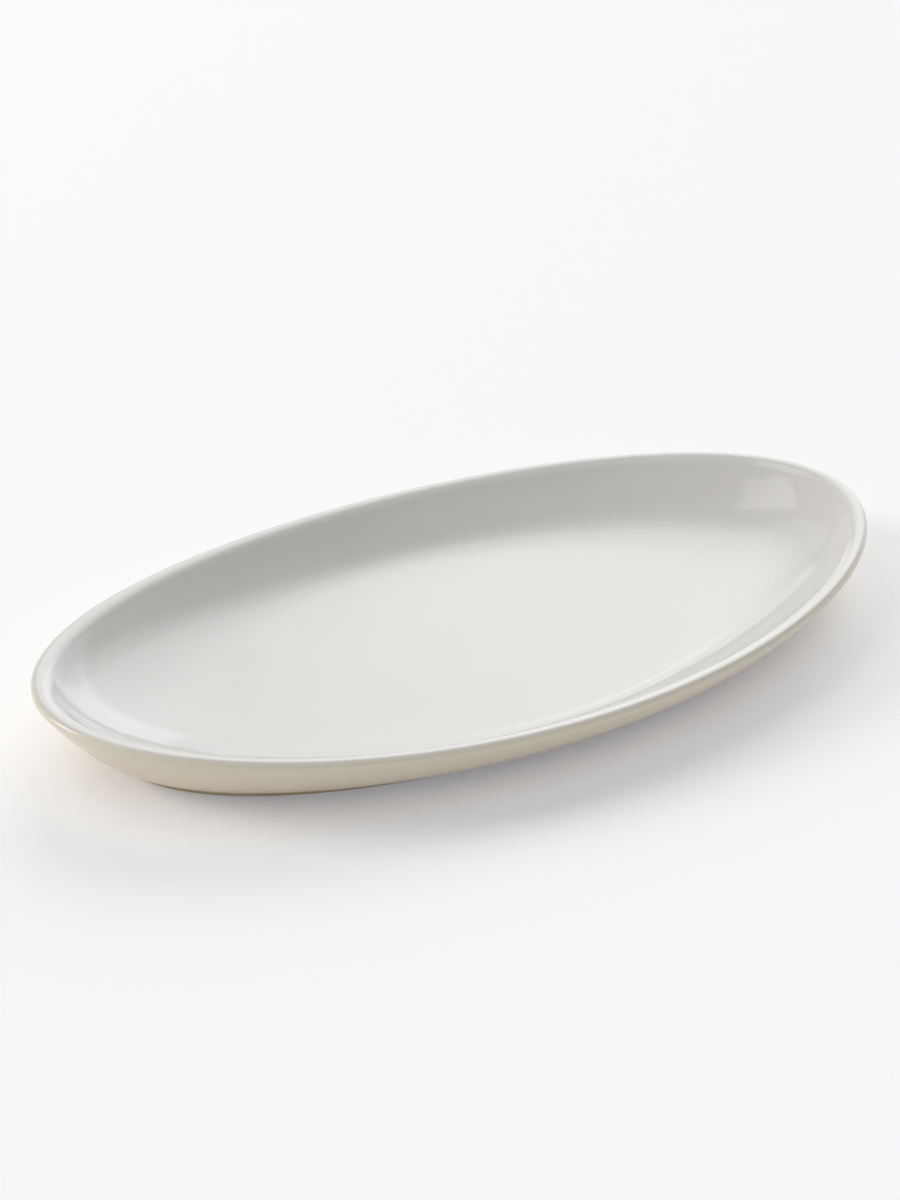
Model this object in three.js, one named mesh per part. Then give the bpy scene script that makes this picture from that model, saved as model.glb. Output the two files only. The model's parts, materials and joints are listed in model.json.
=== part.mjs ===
// Oval serving platter in glazed stoneware, in millimetres, with +Z up.
// One pressed clay dish stands on a foot ring of the same clay and wears three coats of glaze:
// white over the inside, cream over the outside, and cream on the underside within the foot ring.
// The origin is on the table under the middle of the oval, and the long axis lies along X.

import * as THREE from 'three';

// Overall sizes, measured over the glaze
const LENGTH = 380;
const WIDTH = 211.6;
const END_HEIGHT = 34.4; // crest of the lip at the two ends
const SIDE_HEIGHT = 27.1; // crest of the lip at the middle of the long sides
const SHOULDER_TRIM = 1.2; // how far the outline lies inside a true ellipse between ends and sides

// Thicknesses
const OUTER_LIP_RADIUS = 2.1; // of the lip's rounding from its crest outward, over the glaze
const INNER_LIP_RADIUS = 8.5; // of the wider rounding from the crest into the dish
const BASE_THICKNESS = 6; // under the flat of the well, over the glaze
const GLAZE_THICKNESS = 0.5;

// Foot ring
const FOOT_HEIGHT = 3.5; // from the table to the clay of the dish
const FOOT_RING_WIDTH = 6;
const FOOT_CHAMFER = 0.8;
const FOOT_INSET_AT_ENDS = 30.6; // from the outline in to the ring's outer face
const FOOT_INSET_AT_SIDES = 29.4;

// Curve of the wall
const FOOT_SLOPE = 11; // degrees at which the outside leaves the foot ring
const TURN_AT_ENDS = 0.38; // share of the wall's run, from the foot, where it turns upward
const TURN_AT_SIDES = 0.55;
const WELL_SETBACK_AT_ENDS = 54.7; // from the ring's outer face in to the edge of the well's flat
const WELL_SETBACK_AT_SIDES = 10.4;
const TURN_SETBACK_AT_ENDS = 8.5; // from the outside's turn in to the inside's turn
const TURN_SETBACK_AT_SIDES = 9.5;

// Facets
const FACETS_AROUND = 60;
const WALL_STEPS = 8;
const OUTER_LIP_STEPS = 3;
const INNER_LIP_STEPS = 4;

const WELL_HEIGHT = FOOT_HEIGHT - GLAZE_THICKNESS + BASE_THICKNESS;
const FULL_TURN = 2 * Math.PI;
const CREST = FULL_TURN / 4; // direction from a lip circle's centre straight up to the crest

// A value that passes smoothly from the ends of the oval, at angle 0, to its sides, a quarter turn on.
function aroundOval(atEnds, atSides, angle) {
  return THREE.MathUtils.lerp(atSides, atEnds, Math.cos(angle) ** 2);
}

// A point of the dish from its section: x there is the inset from the outline and y is the height.
function placed(sectionPoint, angle) {
  const shoulderRadius = Math.hypot(LENGTH, WIDTH) / 2 * Math.SQRT1_2;
  const shoulder = 1 - SHOULDER_TRIM / shoulderRadius * Math.sin(2 * angle) ** 2;
  return new THREE.Vector3(
    (LENGTH / 2 - sectionPoint.x) * Math.cos(angle) * shoulder,
    (WIDTH / 2 - sectionPoint.x) * Math.sin(angle) * shoulder,
    sectionPoint.y,
  );
}

// The direction, from the centre of a circle of the lip, in which a straight wall from a point touches it.
function touchAngle(from, centre, radius, side) {
  const toPoint = from.clone().sub(centre);
  return (toPoint.angle() + side * Math.acos(radius / toPoint.length())) % FULL_TURN;
}

function onCircle(centre, radius, angle) {
  return new THREE.Vector2(centre.x + radius * Math.cos(angle), centre.y + radius * Math.sin(angle));
}

// Matching points of a coat's face and of the clay under it along one stretch of the wall.
function wallPairs(curve) {
  return Array.from({ length: WALL_STEPS + 1 }, (_, step) => {
    const share = step / WALL_STEPS;
    const coat = curve.getPoint(share);
    const along = curve.getTangent(share);
    const intoClay = new THREE.Vector2(along.y, -along.x);
    return { coat, clay: coat.clone().addScaledVector(intoClay, GLAZE_THICKNESS) };
  });
}

// The same along one circle of the lip, from one direction to another, with the first point left out.
function lipPairs(centre, radius, startAngle, endAngle, steps) {
  return Array.from({ length: steps }, (_, step) => {
    const angle = THREE.MathUtils.lerp(startAngle, endAngle, (step + 1) / steps);
    return {
      coat: onCircle(centre, radius, angle),
      clay: onCircle(centre, radius - GLAZE_THICKNESS, angle),
    };
  });
}

function footInset(angle) {
  return aroundOval(FOOT_INSET_AT_ENDS, FOOT_INSET_AT_SIDES, angle);
}

// The section through the wall at one angle: outside from the foot up to the crest of the lip,
// and inside from that crest down to the edge of the well's flat.
function wallSection(angle) {
  const crest = aroundOval(END_HEIGHT, SIDE_HEIGHT, angle);
  const outerCentre = new THREE.Vector2(OUTER_LIP_RADIUS, crest - OUTER_LIP_RADIUS);
  const innerCentre = new THREE.Vector2(OUTER_LIP_RADIUS, crest - INNER_LIP_RADIUS);
  const turn = aroundOval(TURN_AT_ENDS, TURN_AT_SIDES, angle);

  const foot = new THREE.Vector2(footInset(angle), FOOT_HEIGHT - GLAZE_THICKNESS);
  const toTurn = foot.x * turn;
  const rise = toTurn * Math.tan(THREE.MathUtils.degToRad(FOOT_SLOPE));
  const outerTurn = new THREE.Vector2(foot.x - toTurn, foot.y + rise);
  const outerTouch = touchAngle(outerTurn, outerCentre, OUTER_LIP_RADIUS, -1);
  const outerTop = onCircle(outerCentre, OUTER_LIP_RADIUS, outerTouch);
  const outerWall = wallPairs(new THREE.QuadraticBezierCurve(foot, outerTurn, outerTop));
  outerWall[0].clay.set(foot.x, FOOT_HEIGHT);

  const wellSetback = aroundOval(WELL_SETBACK_AT_ENDS, WELL_SETBACK_AT_SIDES, angle);
  const turnSetback = aroundOval(TURN_SETBACK_AT_ENDS, TURN_SETBACK_AT_SIDES, angle);
  const wellEdge = new THREE.Vector2(foot.x + wellSetback, WELL_HEIGHT);
  const innerTurn = new THREE.Vector2(outerTurn.x + turnSetback, WELL_HEIGHT);
  const innerTouch = touchAngle(innerTurn, innerCentre, INNER_LIP_RADIUS, 1);
  const innerTop = onCircle(innerCentre, INNER_LIP_RADIUS, innerTouch);
  const innerWall = wallPairs(new THREE.QuadraticBezierCurve(innerTop, innerTurn, wellEdge));

  const outerLip = lipPairs(outerCentre, OUTER_LIP_RADIUS, outerTouch, CREST, OUTER_LIP_STEPS);
  const outside = [...outerWall, ...outerLip];
  const crestToWall = lipPairs(innerCentre, INNER_LIP_RADIUS, CREST, innerTouch, INNER_LIP_STEPS);
  const inside = [outside.at(-1), ...crestToWall.slice(0, -1), ...innerWall];
  return { outside, inside };
}

const ANGLES = Array.from({ length: FACETS_AROUND }, (_, i) => i / FACETS_AROUND * FULL_TURN);
const SECTIONS = ANGLES.map(wallSection);

// Rings round the oval, one for each point of a stretch of the section.
function ringsOf(stretch, layer) {
  return SECTIONS[0][stretch].map((_, row) =>
    ANGLES.map((angle, i) => placed(SECTIONS[i][stretch][row][layer], angle)));
}

// One ring at a set inset from the foot ring's outer face and at a set height.
function footOval(insetFromFace, height) {
  return ANGLES.map((angle) =>
    placed(new THREE.Vector2(footInset(angle) + insetFromFace, height), angle));
}

// A closed solid from rings. It either runs back to its first ring, or is closed by a fan at each end.
// Each facet is split along its climbing diagonal, so a coat and the clay under it share their facets.
function solidOfRings(rings, closedBy) {
  const points = rings.flat();
  const triangles = [];
  const last = rings.length - 1;
  const strips = closedBy === 'loop' ? rings.length : last;
  const at = (ring, facet) => (ring % rings.length) * FACETS_AROUND + facet % FACETS_AROUND;
  for (let ring = 0; ring < strips; ring += 1) {
    const climbs = points[at(ring, 0)].z <= points[at(ring + 1, 0)].z;
    for (let facet = 0; facet < FACETS_AROUND; facet += 1) {
      const [a, b] = [at(ring, facet), at(ring, facet + 1)];
      const [c, d] = [at(ring + 1, facet), at(ring + 1, facet + 1)];
      triangles.push(...(climbs ? [a, b, d, a, d, c] : [a, b, c, b, d, c]));
    }
  }
  if (closedBy === 'fans') {
    const firstMiddle = points.push(new THREE.Vector3(0, 0, rings[0][0].z)) - 1;
    const lastMiddle = points.push(new THREE.Vector3(0, 0, rings[last][0].z)) - 1;
    for (let facet = 0; facet < FACETS_AROUND; facet += 1) {
      triangles.push(firstMiddle, at(0, facet + 1), at(0, facet));
      triangles.push(lastMiddle, at(last, facet), at(last, facet + 1));
    }
  }
  const geometry = new THREE.BufferGeometry().setFromPoints(points);
  geometry.setIndex(triangles);
  geometry.computeVertexNormals();
  return geometry;
}

const platter = new THREE.Group();

function addPiece(name, geometry, finish) {
  const piece = new THREE.Mesh(geometry, new THREE.MeshStandardMaterial(finish));
  piece.name = name;
  platter.add(piece);
}

const BARE_STONEWARE = { color: 0xcdbfa4, roughness: 0.85, metalness: 0 };
const WHITE_GLAZE = { color: 0xeeedea, roughness: 0.12, metalness: 0 };
const CREAM_GLAZE = { color: 0xe4dcc8, roughness: 0.2, metalness: 0 };

// Pressed clay dish, from its flat underside round the lip to the flat of the well
const outsideClay = ringsOf('outside', 'clay');
const insideClay = ringsOf('inside', 'clay');
addPiece('clay_body', solidOfRings([...outsideClay, ...insideClay.slice(1)], 'fans'), BARE_STONEWARE);

// Foot ring under the dish, with both lower edges chamfered
addPiece('foot_ring', solidOfRings([
  footOval(FOOT_CHAMFER, 0),
  footOval(0, FOOT_CHAMFER),
  footOval(0, FOOT_HEIGHT),
  footOval(FOOT_RING_WIDTH, FOOT_HEIGHT),
  footOval(FOOT_RING_WIDTH, FOOT_CHAMFER),
  footOval(FOOT_RING_WIDTH - FOOT_CHAMFER, 0),
], 'loop'), BARE_STONEWARE);

// White coat over the well, the inside of the wall and the inner half of the lip
const insideCoat = ringsOf('inside', 'coat');
addPiece('inside_glaze', solidOfRings([...insideClay.toReversed(), ...insideCoat], 'fans'), WHITE_GLAZE);

// Cream coat over the outer half of the lip and the outside of the wall, down to the foot ring
const outsideCoat = ringsOf('outside', 'coat');
addPiece('outside_glaze', solidOfRings([...outsideCoat, ...outsideClay.toReversed()], 'loop'), CREAM_GLAZE);

// Cream coat on the flat underside within the foot ring
addPiece('underside_glaze', solidOfRings([
  footOval(FOOT_RING_WIDTH, FOOT_HEIGHT - GLAZE_THICKNESS),
  footOval(FOOT_RING_WIDTH, FOOT_HEIGHT),
], 'fans'), CREAM_GLAZE);

export default platter;
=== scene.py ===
# %% [markdown]
# # An oval serving platter in glazed stoneware
# The real platter is one pressed dish of stoneware clay on a low foot ring. Its inside is dipped in a gloss
# white glaze, its outside and its underside in a cream one, and the foot is wiped bare so that it doesn't
# stick to the kiln shelf. Nothing on it moves.
# The lesson loads the platter's solids as a fixed frame, draws a section through the wall, and turns that
# section round the oval with one Geometry Nodes tree, once for the clay, the foot and each coat of glaze.

# %% Load the frame
import json
import math
from collections import namedtuple

import bmesh
import bpy
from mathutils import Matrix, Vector, noise


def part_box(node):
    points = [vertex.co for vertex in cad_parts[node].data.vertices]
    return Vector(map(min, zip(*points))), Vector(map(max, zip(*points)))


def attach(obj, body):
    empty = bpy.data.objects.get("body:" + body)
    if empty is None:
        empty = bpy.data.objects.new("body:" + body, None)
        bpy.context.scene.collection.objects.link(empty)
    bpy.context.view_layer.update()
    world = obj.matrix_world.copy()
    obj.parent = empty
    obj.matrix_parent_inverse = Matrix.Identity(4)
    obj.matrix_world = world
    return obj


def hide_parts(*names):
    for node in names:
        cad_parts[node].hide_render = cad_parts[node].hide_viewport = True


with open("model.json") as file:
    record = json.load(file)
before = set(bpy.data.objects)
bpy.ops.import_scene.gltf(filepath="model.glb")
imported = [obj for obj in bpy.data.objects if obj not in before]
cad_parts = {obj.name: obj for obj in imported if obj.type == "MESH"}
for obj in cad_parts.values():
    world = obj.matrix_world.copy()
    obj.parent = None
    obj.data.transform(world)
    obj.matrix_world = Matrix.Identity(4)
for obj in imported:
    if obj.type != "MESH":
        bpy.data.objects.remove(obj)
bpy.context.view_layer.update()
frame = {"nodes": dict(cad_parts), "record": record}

print("frame nodes:", ", ".join(sorted(frame["nodes"])))

# %% [markdown]
# ## Sizes
# Blender works in metres. Sizes that the solids already have are measured off them here where they can be,
# so that the fine surfaces fit the frame by themselves. `ends` are the two ends of the oval's long axis and
# `sides` the middles of its long sides, where the rim is lower.

# %% Sizes measured off the frame
MM = 0.001
STATIONS = ("ends", "sides")
SIDE_BAND = 1 * MM  # a point of the solid this near the short axis lies at the middle of a side

outer_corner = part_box("outside_glaze")[1]
crest_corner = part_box("inside_glaze")[1]
foot_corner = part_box("foot_ring")[1]
underside_low, underside_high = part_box("underside_glaze")
mounts = {mount["name"]: mount for mount in frame["record"]["mounts"]}

half_length, half_width = outer_corner.x, outer_corner.y
outer_lip_radius = outer_corner.x - crest_corner.x
coat_points = [vertex.co for vertex in frame["nodes"]["outside_glaze"].data.vertices]
side_heights = [place.z for place in coat_points if abs(place.x) < SIDE_BAND]
crest_height = {"ends": outer_corner.z, "sides": max(side_heights)}
foot_inset = {"ends": half_length - foot_corner.x, "sides": half_width - foot_corner.y}
foot_height = foot_corner.z
foot_ring_width = foot_corner.x - underside_high.x
glaze_thickness = underside_high.z - underside_low.z
well_height = mounts["well_floor"]["pos_m"][2]
print(f"oval {2 * half_length / MM:.1f} by {2 * half_width / MM:.1f} mm")
print(f"outer lip radius {outer_lip_radius / MM:.2f} mm, glaze {glaze_thickness / MM:.2f} mm thick")
for station in STATIONS:
    print(f"crest {crest_height[station] / MM:.1f} mm high at the {station}")

# %% [markdown]
# ## The section through the wall
# A potter thinks of a dish as a section: the line that a knife would show through its wall. Two sections
# are enough here, one at the ends and one at the sides, because the wall passes smoothly from one to the
# other. A point of the section is an inset from the oval outline and a height. The wall is made of bent
# lines, and the lip of two roundings that meet at its crest: a tight one outward, as a sponge leaves it,
# and a wide one inward, where the mould lets go of the clay.
# Each point comes as a pair: one on the face of the glaze, and one on the clay a glaze thickness below it.

# %% The bends of the wall and the round lip
LIP_STEPS = 14
FULL_TURN = 2 * math.pi


def bent_line(start, turn, end, steps):
    """Pairs of a coat's face and the clay under it along a wall that leaves start towards turn."""
    pairs = []
    for step in range(steps + 1):
        share = step / steps
        face = start * (1 - share) ** 2 + turn * (2 * share * (1 - share)) + end * share ** 2
        along = ((turn - start) * (1 - share) + (end - turn) * share).normalized()
        into_clay = Vector((along.y, -along.x))
        pairs.append((face, face + into_clay * glaze_thickness))
    return pairs


def round_lip(centre, radius, start_angle, end_angle):
    """The same along one circle of the lip, from one direction to another."""
    pairs = []
    for step in range(LIP_STEPS + 1):
        angle = start_angle + (end_angle - start_angle) * step / LIP_STEPS
        outward = Vector((math.cos(angle), math.sin(angle)))
        pairs.append((centre + outward * radius, centre + outward * (radius - glaze_thickness)))
    return pairs


def touch_angle(point, centre, radius, side):
    """Direction from the centre of a lip circle in which a straight wall from a point touches it."""
    to_point = point - centre
    return (math.atan2(to_point.y, to_point.x) + side * math.acos(radius / to_point.length)) % FULL_TURN


# %% [markdown]
# The outside leaves the foot ring at a low slope, bends up and ends where it touches the outer circle of the
# lip. The inside starts at the crest, follows the wider inner circle and sweeps back down to the flat of the
# well. It turns a little farther in than the outside does, which gives the wall its thickness. These few
# sizes don't show in the corners of the solids, so they are written out here.

# %% Draw the section
OUTER_STEPS = 40
INNER_STEPS = 84
QUARTER_TURN = FULL_TURN / 4
CREST_ANGLE = QUARTER_TURN  # from the centre of a lip circle straight up to the crest
INNER_LIP_RADIUS = 8.5 * MM  # from the crest into the dish
FOOT_SLOPE = math.radians(11)  # at which the outside leaves the foot ring
TURN_SHARE = {"ends": 0.38, "sides": 0.55}  # of the wall's run, from the foot, where it turns upward
WELL_SETBACK = {"ends": 54.7 * MM, "sides": 10.4 * MM}  # from the foot ring's face in to the well's flat
TURN_SETBACK = {"ends": 8.5 * MM, "sides": 9.5 * MM}  # from the outside's turn in to the inside's turn


def wall_section(station):
    """The outside from the foot up to the crest, and the inside from the crest down to the well."""
    outer_centre = Vector((outer_lip_radius, crest_height[station] - outer_lip_radius))
    inner_centre = Vector((outer_lip_radius, crest_height[station] - INNER_LIP_RADIUS))
    foot = Vector((foot_inset[station], foot_height - glaze_thickness))
    run = foot.x * TURN_SHARE[station]
    outer_turn = Vector((foot.x - run, foot.y + run * math.tan(FOOT_SLOPE)))
    outer_touch = touch_angle(outer_turn, outer_centre, outer_lip_radius, -1)
    outer_lip = round_lip(outer_centre, outer_lip_radius, outer_touch, CREST_ANGLE)
    outside = bent_line(foot, outer_turn, outer_lip[0][0], OUTER_STEPS)[:-1] + outer_lip
    outside[0] = (foot, Vector((foot.x, foot_height)))

    well_edge = Vector((foot.x + WELL_SETBACK[station], well_height))
    inner_turn = Vector((outer_turn.x + TURN_SETBACK[station], well_height))
    inner_touch = touch_angle(inner_turn, inner_centre, INNER_LIP_RADIUS, 1)
    inner_lip = round_lip(inner_centre, INNER_LIP_RADIUS, CREST_ANGLE, inner_touch)
    inside = inner_lip[:-1] + bent_line(inner_lip[-1][0], inner_turn, well_edge, INNER_STEPS)
    return outside, inside


sections = {station: wall_section(station) for station in STATIONS}
print("section points:", len(sections["ends"][0]), "outside and", len(sections["ends"][1]), "inside")

# %% [markdown]
# ## Rows
# Each piece of the platter is a band of rows round the oval. A row holds its section point at the ends and
# at the sides. `reach` is 1 on the wall and shrinks to 0 at the middle of a flat, so that a flat closes in a
# pole. `free` says how much of the hand-made unevenness the row takes, which dies out at the lip so that the
# two coats keep meeting there. `climb` is how far up the wall the row lies: the glazes read it to change
# colour between the foot and the lip. The tool that shapes the inside also leaves faint ripples along the
# wall, a few hundredths of a millimetre high, which draw fine streaks in the gloss beside the rim.

# %% Rows of a piece
Row = namedtuple("Row", "ends sides reach free climb")
FACE, CLAY = 0, 1
OUTSIDE, INSIDE = 0, 1
LIP_FADE = (0.8, 0.95)  # share of the climb over which the unevenness dies out below the crest
RIPPLE_SIZE = 3 * MM
RIPPLE_HEIGHT = 0.045 * MM


def smooth_step(low, high, value):
    """A share that passes smoothly from 0 at one value to 1 at another."""
    share = min(max((value - low) / (high - low), 0), 1)
    return share * share * (3 - 2 * share)


def rippled(pairs, free_shares):
    """Points of a coat's face, each moved along its own normal by the ripple at its place on the wall."""
    path, points = 0, []
    for (face, clay), (face_before, _), free in zip(pairs, pairs[:1] + pairs, free_shares):
        path += (face - face_before).length
        ripple = RIPPLE_HEIGHT * free * noise.noise((path / RIPPLE_SIZE, 0, 0))
        points.append(face + (face - clay).normalized() * ripple)
    return points


def wall_rows(stretch, layer, uneven=0):
    """Rows along one stretch of the section, on the glaze's face or on the clay."""
    heights = [pair[layer].y for pair in sections["ends"][stretch]]
    climbs = [(height - min(heights)) / (max(heights) - min(heights)) for height in heights]
    free_shares = [uneven * (1 - smooth_step(*LIP_FADE, climb)) for climb in climbs]
    stations = []
    for station in STATIONS:
        pairs = sections[station][stretch]
        stations.append(rippled(pairs, free_shares) if uneven else [pair[layer] for pair in pairs])
    return [Row(*points, 1, free, climb) for *points, free, climb in zip(*stations, free_shares, climbs)]


def flat_rows(edge, steps, uneven=0):
    """Rows from just inside an edge to the pole in the middle of a flat."""
    shares = [1 - (step + 1) / steps for step in range(steps)]
    return [Row(edge.ends, edge.sides, share, uneven, edge.climb) for share in shares]


# %% [markdown]
# ## One tree that turns a section round an oval
# Blender's Spin and Screw tools turn a section round a circle only, and a scaled circle would make the lip
# thicker at the ends than at the sides. A Geometry Nodes tree can follow the real rule instead. It lays a
# grid with one row for each section point and one column for each step round the oval, reads the two
# sections by row, mixes them by the square of the cosine of the angle, and moves each grid point to its
# place. The seam and the poles are then merged, which leaves a closed shell.
# Every node of this file, in this tree and in the materials, is added by the one small helper below.

# %% A helper that adds one node


def add(tree, kind, *in_order, sockets=None, **settings):
    """Adds a node with its settings, and fills its sockets in order or by name.

    A socket takes a number, a colour, another node's output, or another node for that node's first output.
    """
    node = tree.nodes.new(kind)
    for name, value in settings.items():
        setattr(node, name, value)
    for socket, value in [*enumerate(in_order), *(sockets or {}).items()]:
        if isinstance(value, bpy.types.Node):
            value = value.outputs[0]
        if isinstance(value, bpy.types.NodeSocket):
            tree.links.new(value, node.inputs[socket])
        else:
            node.inputs[socket].default_value = value
    return node


# %% [markdown]
# The tree is one recipe for all five pieces. What a piece brings along, and what a designer may want to
# change, are its named inputs. A modifier sets an input by the identifier of its socket, so the identifiers
# are kept by name.

# %% The tree's named inputs
turning = bpy.data.node_groups.new("turn_section_round_oval", "GeometryNodeTree")
turning.is_modifier = True
identifiers = {}
for label, kind in (
    ("Section", "NodeSocketGeometry"),
    ("Half length", "NodeSocketFloat"),
    ("Half width", "NodeSocketFloat"),
    ("Shoulder trim", "NodeSocketFloat"),
    ("Facets", "NodeSocketInt"),
    ("Unevenness", "NodeSocketFloat"),
    ("Unevenness size", "NodeSocketFloat"),
    ("Glaze", "NodeSocketMaterial"),
):
    socket = turning.interface.new_socket(label, in_out="INPUT", socket_type=kind)
    identifiers[label] = socket.identifier
turning.interface.new_socket("Piece", in_out="OUTPUT", socket_type="NodeSocketGeometry")
given = add(turning, "NodeGroupInput").outputs
print("tree inputs:", ", ".join(identifiers))

# %% [markdown]
# A grid numbers its points column by column, so the remainder of a point's index by the number of rows is
# its row, and the whole part of that division is its column. The column gives the angle round the oval.

# %% Lay the grid and find each point's row and angle
row_count = add(turning, "GeometryNodeAttributeDomainSize", given["Section"])
columns = add(turning, "ShaderNodeMath", given["Facets"], 1, operation="ADD")
grid = add(turning, "GeometryNodeMeshGrid", sockets={"Vertices X": columns, "Vertices Y": row_count})
index = add(turning, "GeometryNodeInputIndex")
row = add(turning, "ShaderNodeMath", index, row_count, operation="FLOORED_MODULO")
rows_passed = add(turning, "ShaderNodeMath", index, row_count, operation="DIVIDE")
column = add(turning, "ShaderNodeMath", rows_passed, operation="FLOOR")
turned = add(turning, "ShaderNodeMath", column, given["Facets"], operation="DIVIDE")
angle = add(turning, "ShaderNodeMath", turned, FULL_TURN, operation="MULTIPLY")
cosine = add(turning, "ShaderNodeMath", angle, operation="COSINE")
sine = add(turning, "ShaderNodeMath", angle, operation="SINE")
end_share = add(turning, "ShaderNodeMath", cosine, cosine, operation="MULTIPLY")
print("tree nodes for the grid:", len(turning.nodes))

# %% [markdown]
# The section mesh carries its numbers as named attributes, one for each row. They are sampled by row, and
# the two sections are mixed. The oval is not quite an ellipse: the outline lies a little inside it on the
# shoulders, halfway between the ends and the sides, where cos² times sin² is largest.

# %% Read the rows and put each point in its place
sampled = {}
for label, data_type in (
    ("position", "FLOAT_VECTOR"),
    ("side_section", "FLOAT_VECTOR"),
    ("reach", "FLOAT"),
    ("free", "FLOAT"),
    ("climb", "FLOAT"),
):
    attribute = add(turning, "GeometryNodeInputNamedAttribute", label, data_type=data_type)
    sampled[label] = add(turning, "GeometryNodeSampleIndex", data_type=data_type, sockets={
        "Geometry": given["Section"],
        "Value": attribute,
        "Index": row,
    })
mixed = add(turning, "ShaderNodeMix", end_share, data_type="VECTOR", sockets={
    4: sampled["side_section"],
    5: sampled["position"],
})
point = add(turning, "ShaderNodeSeparateXYZ", mixed.outputs[1]).outputs
side_share = add(turning, "ShaderNodeMath", 1, end_share, operation="SUBTRACT")
on_shoulder = add(turning, "ShaderNodeMath", end_share, side_share, operation="MULTIPLY")
trimmed = add(turning, "ShaderNodeMath", on_shoulder, given["Shoulder trim"], operation="MULTIPLY")
kept = add(turning, "ShaderNodeMath", 1, trimmed, operation="SUBTRACT")
spread = add(turning, "ShaderNodeMath", sampled["reach"], kept, operation="MULTIPLY")
outline = add(turning, "ShaderNodeCombineXYZ", given["Half length"], given["Half width"], 0)
inset = add(turning, "ShaderNodeCombineXYZ", point["X"], point["X"], 0)
radii = add(turning, "ShaderNodeVectorMath", outline, inset, operation="SUBTRACT")
around = add(turning, "ShaderNodeCombineXYZ", cosine, sine, 0)
on_oval = add(turning, "ShaderNodeVectorMath", radii, around, operation="MULTIPLY")
in_plan = add(turning, "ShaderNodeVectorMath", on_oval, operation="SCALE", sockets={"Scale": spread})
lift = add(turning, "ShaderNodeCombineXYZ", 0, 0, point["Z"])
place = add(turning, "ShaderNodeVectorMath", in_plan, lift, operation="ADD")
placed = add(turning, "GeometryNodeSetPosition", grid, sockets={"Position": place})
print("tree nodes up to the placed grid:", len(turning.nodes))

# %% [markdown]
# A pressed and dipped dish is never true. After the seam is merged, a broad noise pushes the surface in and
# out along its normal by about a tenth of a millimetre. It is too little to see as a shape, but it bends the
# reflections in the gloss, which is how the eye tells pottery from plastic. Edges sharper than SHARP_ANGLE
# are marked sharp and the rest is shaded smooth.

# %% Close the shell, make it uneven and shade it
MERGE_DISTANCE = 0.001 * MM
SHARP_ANGLE = math.radians(35)

stored = placed
for label in ("free", "climb"):
    stored = add(
        turning, "GeometryNodeStoreNamedAttribute", stored, data_type="FLOAT", domain="POINT",
        sockets={"Name": label, "Value": sampled[label]},
    )
merged = add(turning, "GeometryNodeMergeByDistance", stored, sockets={"Distance": MERGE_DISTANCE})
wave_scale = add(turning, "ShaderNodeMath", 1, given["Unevenness size"], operation="DIVIDE")
here = add(turning, "GeometryNodeInputPosition")
wave = add(turning, "ShaderNodeTexNoise", here, sockets={"Scale": wave_scale, "Detail": 1})
swing = add(turning, "ShaderNodeMath", wave, 0.5, operation="SUBTRACT")
height = add(turning, "ShaderNodeMath", swing, given["Unevenness"], operation="MULTIPLY")
how_free = add(turning, "GeometryNodeInputNamedAttribute", "free", data_type="FLOAT")
free_height = add(turning, "ShaderNodeMath", height, how_free, operation="MULTIPLY")
normal = add(turning, "GeometryNodeInputNormal")
push = add(turning, "ShaderNodeVectorMath", normal, operation="SCALE", sockets={"Scale": free_height})
waved = add(turning, "GeometryNodeSetPosition", merged, sockets={"Offset": push})
smooth = add(turning, "GeometryNodeSetShadeSmooth", waved, domain="FACE")
edge_angle = add(turning, "GeometryNodeInputMeshEdgeAngle")
sharp = add(turning, "ShaderNodeMath", edge_angle, SHARP_ANGLE, operation="GREATER_THAN")
shaded = add(turning, "GeometryNodeSetShadeSmooth", smooth, sharp, False, domain="EDGE")
real = add(turning, "GeometryNodeRealizeInstances", shaded)
coated = add(turning, "GeometryNodeSetMaterial", real, sockets={"Material": given["Glaze"]})
add(turning, "NodeGroupOutput", coated)
print("tree nodes:", len(turning.nodes))

# %% [markdown]
# ## Making a piece
# The two sections become a bare mesh of points with named attributes, the tree runs on it as a modifier,
# and the result is kept as a plain mesh. Two numbers printed for each piece are a test: a closed shell has
# no open edges, and its signed volume is above zero only if its faces point outwards.

# %% Turn rows into a piece
CM = 10 * MM
FACETS = 384
SHOULDER_TRIM = 1.2 * MM  # how far the outline lies inside a true ellipse on the shoulders
ON_SHOULDER = 0.25  # cos² times sin² there
UNEVENNESS = 0.16 * MM  # from the lowest to the highest point of the hand-made surface
UNEVENNESS_SIZE = 48 * MM
shoulder_radius = math.hypot(half_length, half_width) * math.sqrt(0.5)


def section_points(name, rows):
    """A mesh of bare points that carries the rows for the tree."""
    points = bpy.data.meshes.new(name)
    points.from_pydata([(row.ends.x, 0, row.ends.y) for row in rows], [], [])
    side_section = points.attributes.new("side_section", "FLOAT_VECTOR", "POINT")
    for item, row in zip(side_section.data, rows):
        item.vector = (row.sides.x, 0, row.sides.y)
    for label in ("reach", "free", "climb"):
        values = points.attributes.new(label, "FLOAT", "POINT")
        values.data.foreach_set("value", [getattr(row, label) for row in rows])
    return points


def print_measures(name, shell):
    """Prints what shows whether a shell is closed and faces outwards."""
    measured = bmesh.new()
    measured.from_mesh(shell)
    volume = measured.calc_volume(signed=True) / CM ** 3
    open_edges = sum(not edge.is_manifold for edge in measured.edges)
    triangles = len(measured.calc_loop_triangles())
    measured.free()
    print(f"{name}: {volume:.1f} cm3, {open_edges} open edges, {triangles} triangles")


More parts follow.
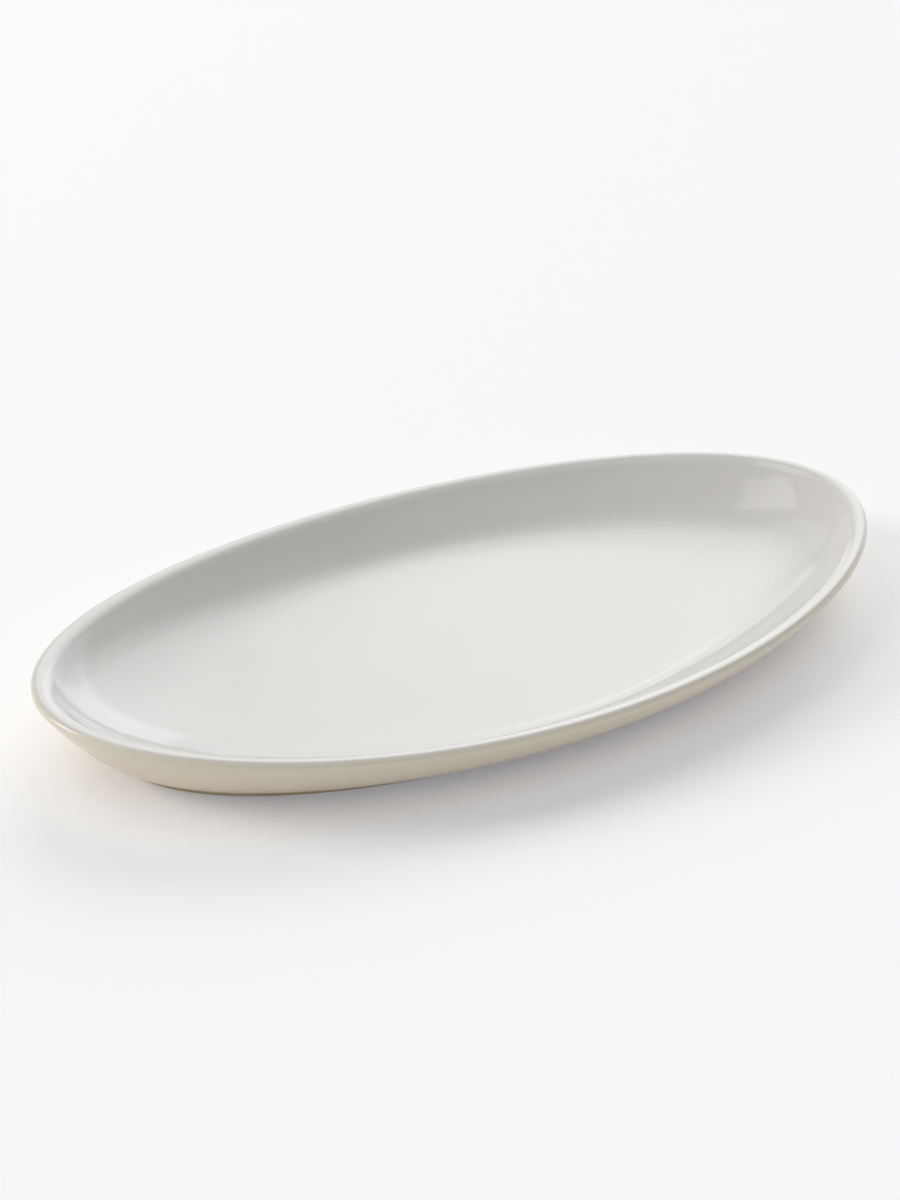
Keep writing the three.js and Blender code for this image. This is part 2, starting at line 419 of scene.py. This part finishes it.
def turned_piece(name, rows, material):
    """A closed shell from rows that run along its section."""
    piece = bpy.data.objects.new(name, section_points(name + "_section", rows))
    bpy.context.scene.collection.objects.link(piece)
    modifier = piece.modifiers.new("turned", "NODES")
    modifier.node_group = turning
    for label, value in (
        ("Half length", half_length),
        ("Half width", half_width),
        ("Shoulder trim", SHOULDER_TRIM / shoulder_radius / ON_SHOULDER),
        ("Facets", FACETS),
        ("Unevenness", UNEVENNESS),
        ("Unevenness size", UNEVENNESS_SIZE),
        ("Glaze", material),
    ):
        modifier[identifiers[label]] = value
    evaluated = piece.evaluated_get(bpy.context.evaluated_depsgraph_get())
    shell = bpy.data.meshes.new_from_object(evaluated)
    piece.modifiers.remove(modifier)
    piece.data = shell
    shell.name = name
    print_measures(name, shell)
    return piece


# %% [markdown]
# ## Colours
# Colours are written as sRGB hex values, as a picture editor shows them. Shaders work in linear light, so
# one function turns the one into the other.

# %% Hex to linear


def linear(hex_colour):
    """An sRGB hex colour as the linear values that shaders take."""
    channels = [int(hex_colour[i:i + 2], 16) / 255 for i in (1, 3, 5)]
    return tuple(c / 12.92 if c <= 0.04045 else ((c + 0.055) / 1.055) ** 2.4 for c in channels) + (1,)


def new_material(name):
    """An empty material and its node tree."""
    material = bpy.data.materials.new(name)
    material.use_nodes = True
    material.node_tree.nodes.clear()
    return material, material.node_tree


print(f"the middle grey #808080 is {linear('#808080')[0]:.3f} in linear light")

# %% [markdown]
# ## White glaze
# The inside is dipped in an opaque white gloss glaze, about half a millimetre thick, that melts to a glass
# in the kiln. Glass has an IOR of 1.5 and is very smooth, so the wall and the well mirror the studio's
# lights. The melt is never quite even: the white clouds a little where it lies thicker, the gloss softens
# in patches, and the surface has a faint orange peel.

# %% Dipped gloss white glaze
CERAMIC_IOR = 1.5  # of the glazes and of the clay
WHITE_CLOUD_SIZE = 35 * MM
GLOSS_PATCH_SIZE = 22 * MM
GLOSS_PATCH_SPAN = (0.3, 0.7)  # of the noise, from the most glassy patches to the softest
GLOSS_ROUGHNESS = (0.07, 0.11)  # in the same two
PEEL_SIZE = 4 * MM
PEEL_HEIGHT = 0.004 * MM

white_glaze, tree = new_material("dipped_gloss_white_glaze")
coordinates = add(tree, "ShaderNodeTexCoord").outputs["Object"]
cloud = add(tree, "ShaderNodeTexNoise", coordinates, sockets={"Scale": 1 / WHITE_CLOUD_SIZE, "Detail": 2})
white = add(tree, "ShaderNodeMix", cloud, data_type="RGBA", sockets={
    6: linear("#DEDCD9"),
    7: linear("#E2E0DD"),
})
patch = add(tree, "ShaderNodeTexNoise", coordinates, sockets={"Scale": 1 / GLOSS_PATCH_SIZE, "Detail": 1})
gloss = add(tree, "ShaderNodeMapRange", patch, *GLOSS_PATCH_SPAN, *GLOSS_ROUGHNESS)
peel = add(tree, "ShaderNodeTexNoise", coordinates, sockets={"Scale": 1 / PEEL_SIZE, "Detail": 1})
bump = add(tree, "ShaderNodeBump", sockets={"Height": peel, "Distance": PEEL_HEIGHT})
glass = add(tree, "ShaderNodeBsdfPrincipled", sockets={
    "Base Color": white.outputs[2],
    "Roughness": gloss,
    "IOR": CERAMIC_IOR,
    "Normal": bump,
})
add(tree, "ShaderNodeOutputMaterial", glass)
print("white glaze:", len(tree.nodes), "nodes")

# %% [markdown]
# ## Cream glaze
# The outside is dipped in a cream glaze with a soft satin gloss. A colour ramp over `climb` makes it paler
# below the lip and warmer and deeper above the foot. The cream is the glaze's own colour, and its warming
# towards the foot is partly painted light: warm light bounced up from below. Its last two stops are the top
# of the lip, where the cream thins out on the edge and passes into the white of the inside at the crest.

# %% Dipped satin cream glaze
CREAM_CLOUD_SIZE = 28 * MM
CREAM_CLOUD_SHIFT = 0.08  # how far a cloud moves the ramp up or down at the foot, and not at the lip
# The cream is the glaze's own; the warmer stops towards the foot are partly painted warm bounce light from
# below.
CREAM_AND_WARM_BOUNCE_STOPS = (  # how far up the wall, and the colour there
    (0.0, "#E0D3B7"),
    (0.45, "#E3D9C4"),
    (0.98, "#E0DACB"),
    (1.0, "#DDDBD8"),
)
CREAM_ROUGHNESS = (0.2, 0.26)
SATIN_SIZE = 6 * MM
SATIN_HEIGHT = 0.002 * MM

cream_glaze, tree = new_material("dipped_satin_cream_glaze")
coordinates = add(tree, "ShaderNodeTexCoord").outputs["Object"]
climb = add(tree, "ShaderNodeAttribute", attribute_name="climb").outputs["Fac"]
cloud = add(tree, "ShaderNodeTexNoise", coordinates, sockets={"Scale": 1 / CREAM_CLOUD_SIZE, "Detail": 2})
cloud_shift_here = add(tree, "ShaderNodeMapRange", climb, sockets={"To Min": CREAM_CLOUD_SHIFT, "To Max": 0})
swing = add(tree, "ShaderNodeMapRange", cloud, sockets={"To Min": -1, "To Max": 1})
clouded = add(tree, "ShaderNodeMath", swing, cloud_shift_here, climb, operation="MULTIPLY_ADD")
ramp = add(tree, "ShaderNodeValToRGB", clouded)
stops = ramp.color_ramp.elements
for up_wall, _ in CREAM_AND_WARM_BOUNCE_STOPS[1:-1]:
    stops.new(up_wall)
for stop, (up_wall, colour) in zip(stops, CREAM_AND_WARM_BOUNCE_STOPS):
    stop.position = up_wall
    stop.color = linear(colour)
satin = add(tree, "ShaderNodeTexNoise", coordinates, sockets={"Scale": 1 / SATIN_SIZE, "Detail": 1})
bump = add(tree, "ShaderNodeBump", sockets={"Height": satin, "Distance": SATIN_HEIGHT})
softness = add(tree, "ShaderNodeMapRange", cloud, 0, 1, *CREAM_ROUGHNESS)
satin_glass = add(tree, "ShaderNodeBsdfPrincipled", sockets={
    "Base Color": ramp,
    "Roughness": softness,
    "IOR": CERAMIC_IOR,
    "Normal": bump,
})
add(tree, "ShaderNodeOutputMaterial", satin_glass)
print("cream glaze:", len(tree.nodes), "nodes,", len(stops), "stops up the wall")

# %% [markdown]
# ## Bare stoneware
# Under the glazes is a buff stoneware, fired hard and dull. It shows only where the foot is wiped before the
# firing, so that the platter doesn't stick to the kiln shelf. Fine grog in the clay leaves darker and paler
# grains, drawn at 0.6 mm so that they show.

# %% Bare fired stoneware
GRAIN_SIZE = 0.6 * MM
GRAIN_HEIGHT = 0.03 * MM
CLAY_ROUGHNESS = 0.85


def grogged_clay(tree, coordinates, grain_height):
    """The colour of clay with grog in it, and the bump of its grains."""
    grain = add(tree, "ShaderNodeTexNoise", coordinates, sockets={"Scale": 1 / GRAIN_SIZE, "Detail": 3})
    buff = add(tree, "ShaderNodeMix", grain, data_type="RGBA", sockets={
        6: linear("#BBAB8C"),
        7: linear("#DACDB4"),
    })
    bump = add(tree, "ShaderNodeBump", sockets={"Height": grain, "Distance": grain_height})
    return buff.outputs[2], bump


bare_clay, tree = new_material("bare_fired_stoneware")
coordinates = add(tree, "ShaderNodeTexCoord").outputs["Object"]
clay_colour, bump = grogged_clay(tree, coordinates, GRAIN_HEIGHT)
matte_clay = add(tree, "ShaderNodeBsdfPrincipled", sockets={
    "Base Color": clay_colour,
    "Roughness": CLAY_ROUGHNESS,
    "IOR": CERAMIC_IOR,
    "Normal": bump,
})
add(tree, "ShaderNodeOutputMaterial", matte_clay)
print("bare clay:", len(tree.nodes), "nodes")

# %% [markdown]
# ## The dish and its two coats
# The clay is one shell from the middle of its underside, out round the lip and in to the middle of the well.
# The white coat runs over the inside from the crest of the lip, and the cream coat over the outside. Where a
# coat lies on the clay the two share the same rows, so that they touch all over and never cut through.

# %% Dish, white coat and cream coat
WELL_STEPS = 36
HIDDEN_STEPS = 4

inside_face = wall_rows(INSIDE, FACE, uneven=1)
inside_clay = wall_rows(INSIDE, CLAY)
outside_face = wall_rows(OUTSIDE, FACE)
outside_clay = wall_rows(OUTSIDE, CLAY)
well_flat = flat_rows(inside_face[-1], WELL_STEPS, uneven=1)
well_clay = flat_rows(inside_clay[-1], HIDDEN_STEPS)
base_clay = flat_rows(outside_clay[0], HIDDEN_STEPS)

clay_rows = base_clay[::-1] + outside_clay + inside_clay[1:] + well_clay
dish = turned_piece("stoneware_dish", clay_rows, bare_clay)
white_rows = well_clay[::-1] + inside_clay[::-1] + inside_face + well_flat
white_coat = turned_piece("white_inside_coat", white_rows, white_glaze)
cream_rows = outside_face + outside_clay[::-1] + outside_face[:1]
cream_coat = turned_piece("cream_outside_coat", cream_rows, cream_glaze)

# %% [markdown]
# ## The foot ring
# The foot is a low ring of clay that carries the dish off the table. The glaze is wiped off its bearing face
# by hand, which leaves a line that wavers a little: above it the foot is cream, below it the clay is bare.
# The finish mixes the two by height, with a slow noise for the hand.

# %% Wiped foot finish
WIPED_SHARE = 0.4  # of the foot's height that the sponge cleans
WIPE_WAVER = 0.25  # of the foot's height, the most by which the line wanders up or down
WIPE_BLUR = 0.08  # of the foot's height, over which the glaze thins out on each side of the line
WIPE_SIZE = 14 * MM
FOOT_GRAIN_HEIGHT = 0.01 * MM  # lower than elsewhere on the clay, because the sponge smooths it
FOOT_GLAZE_ROUGHNESS = 0.3

wiped_foot, tree = new_material("sponged_foot_cream_glaze_over_stoneware")
coordinates = add(tree, "ShaderNodeTexCoord").outputs["Object"]
climb = add(tree, "ShaderNodeAttribute", attribute_name="climb").outputs["Fac"]
wipe = add(tree, "ShaderNodeTexNoise", coordinates, sockets={"Scale": 1 / WIPE_SIZE, "Detail": 2})
waver = add(tree, "ShaderNodeMapRange", wipe, sockets={"To Min": -WIPE_WAVER, "To Max": WIPE_WAVER})
line = add(tree, "ShaderNodeMath", climb, waver, operation="ADD")
glazed = add(tree, "ShaderNodeMapRange", line, interpolation_type="SMOOTHSTEP", sockets={
    "From Min": WIPED_SHARE - WIPE_BLUR,
    "From Max": WIPED_SHARE + WIPE_BLUR,
})
clay_colour, bump = grogged_clay(tree, coordinates, FOOT_GRAIN_HEIGHT)
# The glazed part takes the ramp's colour at the foot, which is partly painted warm bounce light from below.
foot_colour = add(tree, "ShaderNodeMix", glazed, data_type="RGBA", sockets={
    6: clay_colour,
    7: linear(CREAM_AND_WARM_BOUNCE_STOPS[0][1]),
})
foot_gloss = add(tree, "ShaderNodeMapRange", glazed, 0, 1, CLAY_ROUGHNESS, FOOT_GLAZE_ROUGHNESS)
sponged = add(tree, "ShaderNodeBsdfPrincipled", sockets={
    "Base Color": foot_colour.outputs[2],
    "Roughness": foot_gloss,
    "IOR": CERAMIC_IOR,
    "Normal": bump,
})
add(tree, "ShaderNodeOutputMaterial", sponged)
print("wiped foot:", len(tree.nodes), "nodes")

# %% [markdown]
# The section of the ring is a low block. Its flat top is the seat under the dish, its two faces stand
# upright, and its lower edges are rounded with a wet sponge, so each is a quarter circle. The rows run once
# round the block and end where they began, which closes the shell.

# %% Foot ring
FOOT_ROUNDING = 0.8 * MM
ROUNDING_STEPS = 8


def foot_row(inset, height):
    """A row at a set inset from the foot's outer face and at a set height."""
    ends = Vector((foot_inset["ends"] + inset, height))
    sides = Vector((foot_inset["sides"] + inset, height))
    return Row(ends, sides, 1, 0, height / foot_height)


def rounded_edge(inset, start_angle):
    """Rows round one lower edge of the foot, a quarter turn on from a direction in the section."""
    rows = []
    for step in range(ROUNDING_STEPS + 1):
        angle = start_angle + QUARTER_TURN * step / ROUNDING_STEPS
        outward = FOOT_ROUNDING * math.cos(angle)
        rows.append(foot_row(inset + outward, FOOT_ROUNDING * (1 + math.sin(angle))))
    return rows


outer_edge = rounded_edge(FOOT_ROUNDING, 2 * QUARTER_TURN)
inner_edge = rounded_edge(foot_ring_width - FOOT_ROUNDING, 3 * QUARTER_TURN)
seat = [foot_row(foot_ring_width, foot_height), foot_row(0, foot_height)]
foot_rows = seat[1:] + outer_edge + inner_edge + seat
foot = turned_piece("wiped_foot_ring", foot_rows[::-1], wiped_foot)

# %% [markdown]
# ## The underside
# Within the foot ring the flat underside has a cream coat of its own. It is a thin disc, closed at a pole
# on each face.

# %% Underside coat
underside_edge = foot_row(foot_ring_width, foot_height - glaze_thickness)
underside_top = foot_row(foot_ring_width, foot_height)
underside_rows = flat_rows(underside_edge, WELL_STEPS)[::-1] + [underside_edge, underside_top]
underside_rows += flat_rows(underside_top, HIDDEN_STEPS)
underside_coat = turned_piece("cream_underside_coat", underside_rows, cream_glaze)

# %% [markdown]
# ## Riding on the frame
# Each piece stands for one solid of the frame, which is hidden, and rides on its only body.

# %% Ride on the frame
for piece, node, slot in (
    (dish, "clay_body", "bare_stoneware"),
    (foot, "foot_ring", "bare_stoneware"),
    (white_coat, "inside_glaze", "white_glaze"),
    (cream_coat, "outside_glaze", "cream_glaze"),
    (underside_coat, "underside_glaze", "cream_glaze"),
):
    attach(piece, "root")
    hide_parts(node)
    print(f"{piece.name} stands for {node}")

# %% [markdown]
# ## Camera
# The view is from above the near long side, with the left end nearer. A 75 mm lens keeps the oval calm, as
# in a catalogue picture. With a tall picture, Blender measures the 36 mm sensor along the picture's height.

# %% Camera
EYE = Vector((-506.99, -741.72, 492.65)) * MM
LOOK_AT = Vector((19.94, 47.69, 0)) * MM
LENS = 75  # in millimetres, as Blender takes it
SENSOR = 36

camera_data = bpy.data.cameras.new("photo_camera")
camera_data.lens = LENS
camera_data.sensor_width = SENSOR
camera = bpy.data.objects.new("photo_camera", camera_data)
camera.location = EYE
camera.rotation_euler = (LOOK_AT - EYE).to_track_quat("-Z", "Y").to_euler()
bpy.context.scene.collection.objects.link(camera)
bpy.context.scene.camera = camera
print(f"camera {(LOOK_AT - EYE).length:.2f} m from what it looks at")

# %% [markdown]
# ## Floor and backdrop
# The platter stands on a wide sheet of matte white paper that takes its shadow. The sheet itself is a little
# warm, and a brightener in it glows faintly blue, as in copy paper. The glow is there for the eye alone: it
# makes the open paper white, keeps the lamps at a plain level, and evens out the cream light that the wall
# throws into the shadow. From below the paper is clear.

# %% Paper
PAPER_WHITENING = 0.18  # brightness that the brightener adds where the paper is looked at

paper, tree = new_material("matte_white_paper")
diffuse = add(tree, "ShaderNodeBsdfDiffuse", linear("#FEFCF7"))
ray = add(tree, "ShaderNodeLightPath").outputs
seen = add(tree, "ShaderNodeMath", ray["Is Camera Ray"], ray["Is Glossy Ray"], operation="MAXIMUM")
seen = add(tree, "ShaderNodeMath", seen, ray["Is Transmission Ray"], operation="MAXIMUM")
whitening = add(tree, "ShaderNodeMath", seen, PAPER_WHITENING, operation="MULTIPLY")
brightener = add(tree, "ShaderNodeEmission", linear("#D0DDFF"), whitening)
sheet = add(tree, "ShaderNodeAddShader", diffuse, brightener)
from_below = add(tree, "ShaderNodeNewGeometry").outputs["Backfacing"]
clear = add(tree, "ShaderNodeBsdfTransparent")
one_sided = add(tree, "ShaderNodeMixShader", from_below, sheet, clear)
add(tree, "ShaderNodeOutputMaterial", one_sided)
print("paper:", len(tree.nodes), "nodes")

# %% [markdown]
# The sheet is a flat ring between two closed lines of points. Its outer line is far out of the picture, and
# its inner one is an oval hole that the foot covers, so that the underside can be looked at in the light.

# %% Floor
FLOOR_RADIUS = 20
FLOOR_STEPS = 128
HOLE_INSET = 2.5 * MM  # from the foot's outer face in to the hole


def stage_object(mesh, material):
    """An object of the studio, which isn't part of the platter."""
    thing = bpy.data.objects.new(mesh.name, mesh)
    mesh.materials.append(material)
    bpy.context.scene.collection.objects.link(thing)
    return thing


hole = (half_length - foot_inset["ends"] - HOLE_INSET, half_width - foot_inset["sides"] - HOLE_INSET)
floor_points = []
for radius_x, radius_y in (hole, (FLOOR_RADIUS, FLOOR_RADIUS)):
    for step in range(FLOOR_STEPS):
        angle = FULL_TURN * step / FLOOR_STEPS
        floor_points.append((radius_x * math.cos(angle), radius_y * math.sin(angle), 0))
floor_faces = []
for step in range(FLOOR_STEPS):
    after = (step + 1) % FLOOR_STEPS
    floor_faces.append((step, FLOOR_STEPS + step, FLOOR_STEPS + after, after))
floor_mesh = bpy.data.meshes.new("pale_floor")
floor_mesh.from_pydata(floor_points, [], floor_faces)
stage_object(floor_mesh, paper)
print(f"floor {2 * FLOOR_RADIUS} m across")

# %% [markdown]
# Behind everything is a plain white dome. It is seen by the camera alone: it throws no light and no shadow,
# and the glaze mirrors the studio's lights instead of it.

# %% Backdrop
BACKDROP_WHITE = 0.93  # as bright as the lit floor, so that no horizon shows
DOME_SUBDIVISIONS = 4

lit_white, tree = new_material("lit_white_backdrop")
plain_white = add(tree, "ShaderNodeEmission", sockets={"Strength": BACKDROP_WHITE})
add(tree, "ShaderNodeOutputMaterial", plain_white)

dome = bmesh.new()
bmesh.ops.create_icosphere(dome, subdivisions=DOME_SUBDIVISIONS, radius=FLOOR_RADIUS)
dome_mesh = bpy.data.meshes.new("white_backdrop")
dome.to_mesh(dome_mesh)
dome.free()
backdrop = stage_object(dome_mesh, lit_white)
for rays in ("diffuse", "glossy", "transmission", "volume_scatter", "shadow"):
    setattr(backdrop, f"visible_{rays}", False)
print(f"backdrop {2 * FLOOR_RADIUS} m across")

# %% [markdown]
# ## Light
# A catalogue studio is a white room with large soft lights. Five softboxes stand behind, beside and above
# the platter, so that its shadow falls towards the viewer and the far wall of the dish turns to soft grey.
# An area lamp is a softbox: its power is worked out from its size and the brightness that its face should
# have. The gloss glaze mirrors the overhead one as a pale window near the right end. The lamps on the left
# are a little warm and those on the right a little cool.

# %% Softboxes
LAMP_DISTANCE = 12  # far off, so that the floor is lit evenly
SOFTBOXES = (  # name; plan angle from +X, rise, half width and half height in degrees; brightness; tint
    ("back_left_softbox", 145, 24, 11, 13, 7.6, "#FFFDF9"),
    ("back_right_softbox", 56.5, 33.5, 25, 15.5, 0.46, "#FAFCFF"),
    ("overhead_softbox", 126, 61.5, 18, 11, 1.4, "#FFFEFB"),
    ("low_right_softbox", 23, 11.5, 44, 11, 0.78, "#FAFCFF"),
    ("low_back_softbox", 45, 11.5, 12, 6.5, 0.55, "#FAFCFF"),
)


def towards(plan_angle, up_angle):
    """A direction from the platter into the room, from two angles in degrees."""
    plan, up = math.radians(plan_angle), math.radians(up_angle)
    return Vector((math.cos(plan) * math.cos(up), math.sin(plan) * math.cos(up), math.sin(up)))


for name, plan_angle, up_angle, half_wide, half_high, brightness, tint in SOFTBOXES:
    lamp = bpy.data.lights.new(name, "AREA")
    lamp.shape = "RECTANGLE"
    lamp.size = 2 * LAMP_DISTANCE * math.tan(math.radians(half_wide))
    lamp.size_y = 2 * LAMP_DISTANCE * math.tan(math.radians(half_high))
    lamp.energy = brightness * math.pi * lamp.size * lamp.size_y
    lamp.color = linear(tint)[:3]
    softbox = bpy.data.objects.new(name, lamp)
    softbox.location = towards(plan_angle, up_angle) * LAMP_DISTANCE
    softbox.rotation_euler = towards(plan_angle, up_angle).to_track_quat("Z", "Y").to_euler()
    softbox.visible_camera = False
    bpy.context.scene.collection.objects.link(softbox)
    print(f"{name}: {lamp.size:.2f} by {lamp.size_y:.2f} m, {lamp.energy:.0f} W")

# %% [markdown]
# The room round the softboxes is drawn in the world: an even brightness, a bright band where the white sweep
# of the studio rises behind the floor, and two broad glows where light comes back off the walls. Each glow
# has a direction, a brightness and a spread from its middle to its rim.

# %% Room
EVEN_LIGHT = 0.184
SWEEP_LIGHT = 0.7
SWEEP_TOP = math.radians(20)  # above the floor, where the sweep's light has died out
GLOWS = (  # plan angle, angle above the floor, brightness, spread in degrees
    (41, 35, 2.05, 31),
    (268, 58, 0.73, 42),
)

world = bpy.data.worlds.new("white_studio")
bpy.context.scene.world = world
world.use_nodes = True
tree = world.node_tree
tree.nodes.clear()
direction = add(tree, "ShaderNodeTexCoord").outputs["Generated"]
rise = add(tree, "ShaderNodeSeparateXYZ", direction).outputs["Z"]
light = add(tree, "ShaderNodeMapRange", rise, interpolation_type="SMOOTHSTEP", sockets={
    "From Min": 0,
    "From Max": math.sin(SWEEP_TOP),
    "To Min": EVEN_LIGHT + SWEEP_LIGHT,
    "To Max": EVEN_LIGHT,
})
for plan_angle, up_angle, brightness, spread_angle in GLOWS:
    middle = towards(plan_angle, up_angle)
    facing = add(tree, "ShaderNodeVectorMath", direction, middle, operation="DOT_PRODUCT").outputs["Value"]
    glow = add(tree, "ShaderNodeMapRange", facing, interpolation_type="SMOOTHSTEP", sockets={
        "From Min": math.cos(math.radians(spread_angle)),
        "To Max": brightness,
    })
    light = add(tree, "ShaderNodeMath", light, glow, operation="ADD")
room = add(tree, "ShaderNodeBackground", linear("#FFFFFF"), light)
add(tree, "ShaderNodeOutputWorld", room)
bpy.context.scene.view_settings.view_transform = "Standard"
print("room:", len(GLOWS), "glows on an even", EVEN_LIGHT)
